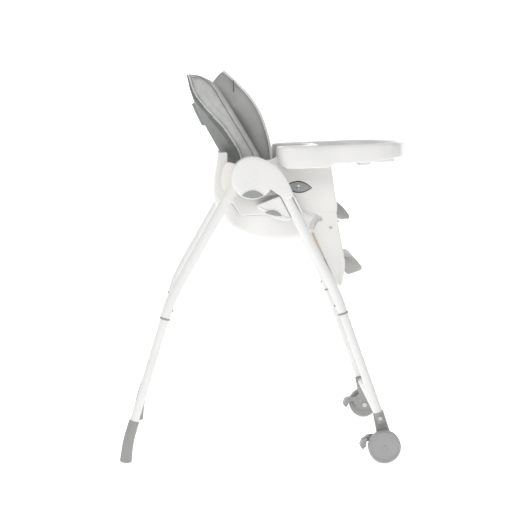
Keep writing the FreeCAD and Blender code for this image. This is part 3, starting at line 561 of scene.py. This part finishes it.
mirror = [ring * np.array([1, -1, 1]) for ring in rings[::-1]]
vessel = ringStack("seatBowl", rings + mirror, shellWhite, smooth=32)
finish(vessel, "seat", "white_plastic", "seat_bowl")
arcs = []
for sideName, s in sides:
    seam = openLine([(-128, 722), (-104, 664), (-60, 633), (10, 622), (78, 634)], 40, 10, 3)
    arcs.append(pipeAlong("bowlSeam_" + sideName, seam, s * 196, 0.9, linerPale, 10))
    arcs.append(pipeAlong("sideSeam_" + sideName, openLine([(81, 691), (118, 664), (158, 657)], 26, 10, 3), s * 204.7,
                          0.9, linerPale, 10))
    arcs.append(turned("sideDot_" + sideName, (160, 661), [(204, 2.2), (205.2, 2.2), (205.6, 1.6), (205.7, 0.05)], s,
                       greyPlastic, 20))
finish(joinPieces(*arcs), "seat", "white_plastic")
print("stage: bowl")

# seat release button: a pointed lens with a dark rim and a plain up arrow
release = dict(centre=(87, 743), long=34.0, tall=13.5, lean=math.radians(-4))
across = np.linspace(-1, 1, 34)


def lensLine(grow):
    # two parabolas z = tall(1 - u^2) and their mirror image, leaned a little
    a, b = release["long"] + grow, release["tall"] + grow
    top = np.stack([across * a, b * (1 - across ** 2)], 1)
    low = np.stack([-across[1:-1] * a, -b * (1 - across[1:-1] ** 2)], 1)
    c, w = math.cos(release["lean"]), math.sin(release["lean"])
    return np.concatenate([top, low]) @ np.array([[c, w], [-w, c]]) + release["centre"]


def frameLine(grow):
    # rounded box x = Au, z = B(1 - u^4)^(1/4), point for point beside the lens
    a, b = release["long"] + grow, release["tall"] + grow
    top = np.stack([across * a, b * (1 - across ** 4) ** 0.25], 1)
    low = np.stack([-across[1:-1] * a, -b * (1 - across[1:-1] ** 4) ** 0.25], 1)
    return np.concatenate([top, low]) + release["centre"]


def openPlate(name, outer, inner, low, high, side, material):
    # flat ring between two lines of equal count
    rings = [standing(outer, side * low), standing(outer, side * (high - 0.5)),
             standing(insetLine(outer, 0.5), side * high), standing(inner, side * high),
             standing(inner, side * low), standing(outer, side * low)]
    return ringStack(name, rings, material, capped=False)


for sideName, s in sides:
    bezel = openPlate("releaseBezel_" + sideName, frameLine(6.5), lensLine(2.9), 202, 205.7, s, warmWhite)
    finish(bezel, "seat", "white_plastic")
    rim = openPlate("releaseRim_" + sideName, lensLine(3.0), lensLine(0.5), 201, 206.3, s, darkPlastic)
    finish(rim, "seat", "dark_plastic")
    press = dome("releasePress_" + sideName, lensLine(0.0), release["centre"], pressShape(199, 207.2), s, buttonGrey)
    finish(press, "seat_button_" + sideName, "button_grey", "seat_button_" + sideName)
    arrow = np.array([(0, 7), (6, 0), (2.2, 0), (2.2, -6), (-2.2, -6), (-2.2, 0), (-6, 0)], float)
    arrow = arrow + release["centre"]
    mark = slab("releaseArrow_" + sideName, softLine(arrow, 0.4, 3, 1), s * 206.8, s * 207.9, shellWhite, 0.2, 0.2, 3)
    finish(mark, "seat_button_" + sideName, "white_plastic")
print("stage: release buttons")

# calf rest and foot ledge
calf = dict(
    cheek=[(168, 655), (184, 654), (196, 641), (204, 600), (217, 531), (207, 471), (193, 474), (127, 622), (140, 650)],
    board=[(170, 651), (184, 654), (196, 641), (204, 600), (217, 531), (207, 471), (190, 479), (161, 600), (166, 612)],
    inner=171.5, outer=204.6)
cheekLine = softLine(calf["cheek"], [3, 5, 7, 30, 22, 14, 12, 8, 6])
boardLine = softLine(calf["board"], [6, 10, 14, 40, 26, 8, 8, 20, 6])
parts = []
for sideName, s in sides:
    parts.append(slab("calfCheek_" + sideName, cheekLine, s * calf["inner"], s * calf["outer"], warmWhite, 5, 5))
    parts.append(slab("calfBoard_" + sideName, boardLine, s * 18.5, s * 174, warmWhite, 2.5, 3))
for end, low, high in (("Top", 634, 700), ("Low", 440, 503)):
    bridge = boardLine.copy()
    bridge[:, 1] = np.clip(bridge[:, 1], low, high)
    parts.append(slab("calfBridge" + end, bridge, -19, 19, warmWhite, 0.3, 0.3, 3))
finish(joinPieces(*parts), "calf_rest", "white_plastic", "calf_rest")
for sideName, s in sides:
    # painted shade: a thin tan strip on each cheek's rear edge stands for the shaded back face of the calf rest
    strip = softLine([(127.5, 619), (193.5, 472.5), (189, 470.5), (122.5, 617)], 1.5, 4, 2)
    finish(slab("calfEdge_" + sideName, strip, s * 197, s * 203, backFaceShade, 0.8, 1.0, 4), "calf_rest", "white_plastic")
    # painted shade: a dark slab on each cheek stands in for the shadow inside the footrest adjuster slot
    slotShade = softLine([(158.6, 549.5), (177.5, 507.5), (171, 509.5), (155, 546)], 1.5, 4, 2)
    finish(slab("calfVent_" + sideName, slotShade, s * 197.5, s * 203.4, darkPlastic, 0.8, 1.0, 4), "calf_rest",
           "dark_plastic")
    apron = softLine([(152, 676), (189.5, 676), (196, 645), (188, 632), (166, 634), (150, 655)], [3, 3, 10, 14, 12, 10])
    finish(slab("hingeApron_" + sideName, apron, s * 204.8, s * 206, warmWhite, 0.8, 0.8, 4), "seat", "white_plastic")
ledge = dict(line=[(224.5, 497), (232, 493), (267, 505), (271, 514), (248, 542), (215.6, 545)], half=120.0)
step = slab("footLedge", softLine(ledge["line"], [4, 8, 6, 8, 12, 4]), -ledge["half"], ledge["half"], ledgeGrey, 3, 6)
shank = slab("footShank", softLine([(170, 512), (226, 512), (226, 540), (163, 540)], 3), -18, 18, ledgeGrey, 1.5, 1.5)
finish(joinPieces(step, shank), "footrest", "grey_plastic", "footrest")
print("stage: calf rest and foot ledge")

# tray: plan outlines stacked in the tray's own tilted frame
tray = dict(origin=(27.0, 835.0), tilt=math.radians(2.2))


def planLine(pairs, reach, corner=8, edge=14):
    # half plan on +Y mirrored to a closed one
    pairs = list(pairs)
    reach = list(reach)
    return softLine(pairs + [(u, -v) for u, v in reversed(pairs)], reach + reach[::-1], corner, edge)


def tilted(line, height):
    # plan point (u, v) at a height over the tray's deck, leaned with the tray
    c, w = math.cos(tray["tilt"]), math.sin(tray["tilt"])
    height = np.broadcast_to(np.asarray(height, float), (len(line),))
    return np.stack([tray["origin"][0] + line[:, 0] * c - height * w, line[:, 1],
                     tray["origin"][1] + line[:, 0] * w + height * c], 1)


trayReach = [40, 40, 24, 34, 34, 60, 60, 60, 60]
rimLine = planLine([(105, 62), (78, 126), (0, 152), (0, 246), (34, 270), (252, 270), (330, 224), (360, 130),
                    (371, 48)], trayReach)
wellLine = planLine([(119, 68), (88, 138), (14, 163), (14, 238), (40, 256), (247, 256), (318, 213), (346, 126),
                     (357, 46)], trayReach)
underLine = planLine([(110, 66), (82, 131), (5, 156), (5, 243), (36, 265), (250, 265), (325, 221), (355, 128),
                      (366, 47)], trayReach)


def ease01(value):
    value = np.clip(value, 0, 1)
    return value * value * (3 - 2 * value)


def skirt(line):
    # how far the wall hangs: arms deeper along the outer side, wall cut away where the seat sides pass
    u, v = line[:, 0], np.abs(line[:, 1])
    low = -33 - 9.5 * ease01((v - 214) / 20) * ease01((u - 2) / 26) * ease01((152 - u) / 14)
    low = low + 9 * ease01((u - 230) / 130)
    passing = (v > 170.5) & (v < 212.5) & (u < 18)
    return np.where(passing, -8.2, low)


def trayRing(share, low, high, lift):
    # mixes two plan lines and puts the ring at lift
    return tilted(low + (high - low) * share, lift)


deep = skirt(rimLine)
rounded = np.minimum(1, (-deep - 8) / 20)
rings = [tilted(insetLine(underLine, 1.5), -8.4), tilted(underLine, -8.4), tilted(underLine, deep + 1.4 * rounded),
         trayRing(0.5, underLine, rimLine, deep), tilted(insetLine(rimLine, 1.2), deep + 0.6 * rounded),
         tilted(insetLine(rimLine, 0.3), deep + 2.0 * rounded), tilted(insetLine(rimLine, 0.0), deep + 4.4 * rounded)]
crown = ((-4, 0.0), (4, 0.2), (9, 0.9), (12.4, 2.2), (14.8, 4.2), (15.9, 6.4), (15.7, 8.4), (14.6, 10.2))
for lift, inset in crown:
    rings.append(tilted(insetLine(rimLine, inset), np.maximum(lift, deep + 5)))
rings += [tilted(insetLine(wellLine, -0.6), 12.8), tilted(wellLine, 10), tilted(wellLine, -3.9),
          tilted(insetLine(wellLine, 1.5), -3.9)]
board = ringStack("trayBody", rings, shellWhite, smooth=42)
parts = [board]
for sideName, s in sides:
    for inner, outer in ((172.2, 177.2), (205.8, 210.8)):
        rib = np.array([(12, inner), (318, inner), (318, outer), (12, outer)]) * np.array([1, s])
        parts.append(ringStack("trayRib", [tilted(rib, -36), tilted(rib, -8)], shellWhite))
finish(joinPieces(*parts), "tray", "white_plastic", "tray")
liningLine = planLine([(119.6, 68.6), (88.6, 138.6), (14.6, 163.6), (14.6, 237.6), (40.4, 255.4), (246.6, 255.4),
                       (317.4, 212.6), (345.4, 126), (356.3, 46)], trayReach)
rings = [tilted(insetLine(liningLine, 3.6), -3.4), tilted(insetLine(liningLine, 3), -3.4),
         tilted(insetLine(liningLine, 0.6), -2.2), tilted(liningLine, 0), tilted(liningLine, 12.2),
         tilted(insetLine(liningLine, 0.7), 13.2), tilted(insetLine(liningLine, 2), 13.6),
         tilted(insetLine(liningLine, 4), 13.2), tilted(insetLine(liningLine, 5.2), 11.8),
         tilted(insetLine(liningLine, 6.2), 4), tilted(insetLine(liningLine, 7.4), 1),
         tilted(insetLine(liningLine, 10), -0.6),
         tilted(insetLine(liningLine, 13), -1), tilted(insetLine(liningLine, 13.6), -1)]
dish = ringStack("trayDish", rings, linerPale, smooth=42)
finish(dish, "tray_liner", "pale_liner", "tray_liner")
grip = softLine([(233, -46), (275, -46), (275, 46), (233, 46)], [10, 16, 16, 10], 9, 6)
rings = [tilted(insetLine(grip, 14), -51), tilted(insetLine(grip, 8), -50.6), tilted(insetLine(grip, 3.5), -48.4),
         tilted(insetLine(grip, 0.9), -44.4), tilted(grip, -38), tilted(grip, -12), tilted(grip, -9.4)]
finish(ringStack("trayLever", rings, shellWhite), "tray_lever", "white_plastic", "tray_lever")
print("stage: tray")

# backrest shell
back = dict(
    hull=[(-60, 738), (-63, 821), (-104, 892), (-145, 939), (-192, 988), (-208, 1043)],
    full=[(-216, 1046), (-198, 973), (-172, 916), (-134, 849), (-101, 800), (-97, 722), (-84, 702), (-64, 706)],
    thin=[(-214, 1044), (-201, 984), (-157, 931), (-116, 882), (-76, 815), (-74, 742), (-70, 734), (-64, 732)],
    half=165.0, flat=85.0, behind=0.4)
backReach = [6, 30, 40, 40, 30, 4, 4, 30, 30, 12, 8, 8, 6, 4]
hullPoints = [(x - back["behind"], z) for x, z in back["hull"]]
fullLine = softLine(hullPoints + back["full"], backReach, 9, 5)
thinLine = softLine(hullPoints + back["thin"], backReach, 9, 5)
rings = []
for y in np.concatenate([np.linspace(-back["half"], -back["flat"], 12), np.linspace(back["flat"], back["half"], 12)]):
    away = np.clip((abs(y) - back["flat"]) / (back["half"] - back["flat"]), 0, 1)
    rings.append(standing(fullLine + (thinLine - fullLine) * away, y))
bowed = ringStack("backShell", rings, rearCloth, smooth=42)
parts = [bowed]
lugLine = softLine([(-66, 736), (-92, 736), (-95, 716), (-86, 703), (-68, 703), (-62, 716)], 6)
for sideName, s in sides:
    parts.append(slab("backLug_" + sideName, lugLine, s * 109, s * 165, rearCloth, 2, 2))
finish(joinPieces(*parts), "backrest", "white_plastic", "back_shell")
handleLine = softLine([(-192, 972), (-177, 936), (-164, 906), (-176, 906), (-190, 933), (-205, 967)],
                      [5, 10, 4, 4, 10, 4])
finish(slab("reclineHandle", handleLine, -32, 32, buttonGrey, 2.2, 4), "recline_handle", "dark_plastic",
       "recline_handle")

# wing cover: rear panel and two side wings sewn to one piece
cover = dict(
    welt=[(-60, 738), (-63, 821), (-104, 892), (-145, 939), (-192, 988), (-208, 1043)],
    front=[(-214, 1048), (-183, 1054), (-139, 1030), (-104, 980), (-63, 912), (-30, 857), (-11, 821), (-22, 742)],
    panel=[(-38, 748), (-43, 834), (-84, 905), (-125, 952), (-166, 1003), (-184, 1046)],
    half=171.5, inner=152.0)
wingLine = softLine(cover["welt"] + cover["front"], [8, 30, 40, 40, 30, 6, 6, 14, 30, 50, 50, 30, 14, 14], 9, 5)
panelLine = softLine(cover["welt"] + cover["panel"][::-1], [8, 30, 40, 40, 30, 6, 6, 20, 40, 40, 30, 8], 9, 5)
parts = [slab("wingCover", insetLine(panelLine, 2), -cover["half"], cover["half"], wingCloth, 4, 4)]
for sideName, s in sides:
    parts.append(slab("wing_" + sideName, insetLine(wingLine, 3), s * cover["inner"], s * cover["half"], wingCloth,
                      6, 7))
wings = puff(joinPieces(*parts), 5.0, 5.0, 4.0)
seamPath = openLine([(-198, 1036), (-176, 1040), (-148, 1018), (-119, 970), (-79, 904), (-46, 850), (-28, 816),
                     (-36, 750)], 30, 12, 8)
pressSeam(wings, seamPath, 2.4, 3.0, lambda p: (np.abs(p[:, 1]) > 160).astype(float))
finish(wings, "backrest", "wing_fabric", "back_cover")
for sideName, s in sides:
    rearWelt = openLine([(-59, 740), (-62, 821), (-103, 892), (-144, 939), (-191, 988), (-208, 1043)], 40, 10, 4)
    finish(pipeAlong("wingWelt_" + sideName, rearWelt, s * 171, 2.6, weltCloth, 14), "backrest", "wing_fabric")
    stitch = pipeAlong("wingStitch_" + sideName, seamPath, s * 174.4, 1.2, rearCloth, 8)
    finish(stitch, "backrest", "wing_fabric")
print("stage: wing cover")

# seat insert: two bolsters and a thinner middle
insert = dict(
    rear=[(-42.6, 834), (-83.6, 905), (-124.6, 952), (-165.6, 1003)],
    front=[(-129, 1047), (-115, 1062), (-82, 1028), (-43, 986), (-15, 939), (4, 883), (17, 820), (12, 740),
           (-10, 724), (-36.6, 746)],
    hollow=[(-10, 740), (-14, 832), (-50, 905), (-92, 955), (-130, 1004), (-150, 1030)],
    half=127.0, middle=70.0)
egg = softLine(insert["rear"] + insert["front"], [16, 40, 40, 16, 20, 14, 40, 40, 40, 40, 40, 26, 20, 12], 9, 5)
hollowLine = softLine(insert["hollow"] + insert["rear"][::-1], [10, 30, 40, 40, 30, 10, 10, 40, 40, 10], 9, 5)
# pad and bolsters take the insert cloth, whose darker grey is painted shade
parts = [slab("insertPad", insetLine(hollowLine, 2), -76, 76, insertCloth, 4, 2)]
for sideName, s in sides:
    parts.append(slab("bolster_" + sideName, insetLine(egg, 1.5), s * insert["middle"], s * insert["half"],
                      insertCloth, 9, 12))
pad = puff(joinPieces(*parts), 5.0, 6.0, 4.0)
topSeam = openLine([(-88, 1031), (-87, 1004), (-85, 968)], 20, 12, 8)
pressSeam(pad, topSeam, 2.6, 3.5)
finish(pad, "backrest", "insert_fabric", "insert_pad")
for sideName, s in sides:
    rimPath = openLine([(-116, 1056), (-82, 1027), (-42, 986), (-13, 940), (6, 883), (19, 820), (14, 742)], 50, 12, 5)
    finish(pipeAlong("insertWelt_" + sideName, rimPath, s * 120, 3.4, paleWelt, 16), "backrest", "insert_fabric")
    finish(pipeAlong("insertStitch_" + sideName, topSeam, s * 128, 1.0, darkPlastic, 8), "backrest", "insert_fabric")
for sideName, s in sides:
    path = openLine([(-9.4, 812), (-10.4, 832.9), (-46.4, 905.9), (-88.4, 955.9), (-105, 977)], 20, 9, 4)
    strap = strapAlong("shoulderStrap_" + sideName, path + np.array([1.5, 1.0]), s * 38, 26, 2.4, strapCloth)
    # the one CAD node holds both straps, so only the first piece takes its place
    finish(strap, "backrest", "webbing", *(("shoulder_straps",) if sideName == "right" else ()))
print("stage: insert")

# seat pad, straps and buckle
seatPad = dict(line=[(-66, 674.6), (150, 684), (176, 678.5), (190, 660), (212, 646), (232, 639), (240, 648), (224, 676),
                     (200, 692), (180, 705), (90, 703), (-40, 699), (-62, 690)], half=161.0, lip=119.0,
               frontOfSides=191)
padLine = softLine(seatPad["line"], [6, 12, 12, 12, 12, 8, 8, 14, 14, 14, 30, 12, 8], 9, 5)
seated = padLine.copy()
seated[:, 0] = np.minimum(seated[:, 0], seatPad["frontOfSides"])
parts = [slab("seatCushion", insetLine(padLine, 1.5), -seatPad["lip"], seatPad["lip"], wingCloth, 5, 7),
         slab("seatCushionWide", insetLine(seated, 2.5), -seatPad["half"], seatPad["half"], wingCloth, 5, 7)]
cushion = puff(joinPieces(*parts), 5.0, 5.0, 4.0)
finish(cushion, "seat", "insert_fabric", "seat_pad")
crotch = strapAlong("crotchStrap", openLine([(97.5, 704), (86, 721), (52, 720.8)], 10, 9, 4), 0, 26, 2.6, strapCloth)
lapPath = openLine([(-30, 702.4), (20, 704.6), (70, 706)], 10, 5, 4)
laps = [strapAlong("lapStrap_" + sideName, lapPath, s * 88, 26, 2.4, strapCloth) for sideName, s in sides]
finish(joinPieces(crotch, *laps), "seat", "webbing", "seat_straps")
claspLine = softLine([(22, 711.6), (52.6, 711.6), (52.6, 727.4), (22, 727.4)], 5)
clasp = slab("buckle", claspLine, -17.4, 17.4, darkPlastic, 3, 5)
knob = slab("buckleKnob", softLine([(29, 724), (45, 724), (45, 729), (29, 729)], 2), -7, 7, buttonGrey, 2, 4)
finish(joinPieces(clasp, knob), "seat", "dark_plastic", "harness_buckle")
print("stage: seat pad and harness")

# finishes of the nodes that keep their own shape
shown = {"front_tube": tubeWhite, "rear_tube": tubeWhite, "front_collars": greyPlastic, "rear_collars": greyPlastic,
         "rear_crossbar": greyPlastic, "front_crossbar": shellWhite, "crossbar_screws": steel,
         "wheel_housing": greyPlastic, "wheel_axles": steel, "brake_pedal": greyPlastic, "hub_pins": steel,
         "hub_screws": steel, "hub_housing": shellWhite, "seat_side": warmWhite,
         "seat_floor": warmWhite, "seat_pins": steel, "front_snaps": buttonGrey, "rear_snaps": buttonGrey}
kept = []
for name, node in nodes.items():
    base = name.replace("_right", "").replace("_left", "")
    if base in shown:
        node.data.materials.clear()
        node.data.materials.append(shown[base])
        kept.append(name)
print("stage: finishes on", len(kept), "carried nodes")

# floor, lights and camera


def glow(name, where, target, power, width, tint=(1, 1, 1)):
    lamp = bpy.data.lights.new(name, "AREA")
    lamp.energy = power
    lamp.size = width
    lamp.color = tint
    holder = bpy.data.objects.new(name, lamp)
    bpy.context.scene.collection.objects.link(holder)
    turnTo(holder, where, target)


def turnTo(holder, where, target):
    holder.location = where
    holder.rotation_euler = (Vector(target) - Vector(where)).to_track_quat("-Z", "Y").to_euler()


ground = [(-9000, -5000, -0.6), (9000, -5000, -0.6), (9000, 9000, -0.6), (-9000, 9000, -0.6)]
paper, tree, shader = newMaterial("palePaper", (0.93, 0.93, 0.93), 0.85)
place = tree.nodes.new("ShaderNodeTexCoord")
fibre = noiseOn(tree, place, 3.0, 4.0)
tone = rampOf(tree, fibre.outputs["Fac"], (0.925,) * 3, (0.935,) * 3)
tree.links.new(tone.outputs["Color"], shader.inputs["Base Color"])
shader.inputs["Emission Color"].default_value = (1, 1, 1, 1)
shader.inputs["Emission Strength"].default_value = 0.58
floor = makeMesh("floor", ground, [(0, 1, 2, 3)], paper)
screen, tree, shader = newMaterial("paleScreen", (0.9, 0.9, 0.9), 0.9)
shader.inputs["Emission Color"].default_value = (1, 1, 1, 1)
shader.inputs["Emission Strength"].default_value = 0.75
upright = [(-9000, 9000, -0.6), (9000, 9000, -0.6), (9000, 9000, 7000), (-9000, 9000, 7000)]
backdrop = makeMesh("backdrop", upright, [(0, 1, 2, 3)], screen)
room = bpy.data.worlds.new("room")
room.use_nodes = True
room.node_tree.nodes["Background"].inputs["Color"].default_value = (1, 1, 1, 1)
room.node_tree.nodes["Background"].inputs["Strength"].default_value = 0.42
bpy.context.scene.world = room
glow("keyLight", (-1.6, -2.6, 2.8), (0, 0, 0.5), 36, 1.6)
glow("fillLight", (2.4, -1.8, 1.6), (0, 0, 0.5), 7, 2.4)
glow("backLight", (0.4, 2.4, 2.6), (0, 0, 0.6), 20, 2.6)
lens = bpy.data.cameras.new("viewer")
lens.lens = 93.5
lens.sensor_width = 36.0
viewer = bpy.data.objects.new("viewer", lens)
bpy.context.scene.collection.objects.link(viewer)
turnTo(viewer, (-0.112, -3.85, 0.947), (-0.0115, 0, 0.522))
bpy.context.scene.camera = viewer
bpy.context.scene.view_settings.view_transform = "Standard"
print("stage: set and camera")
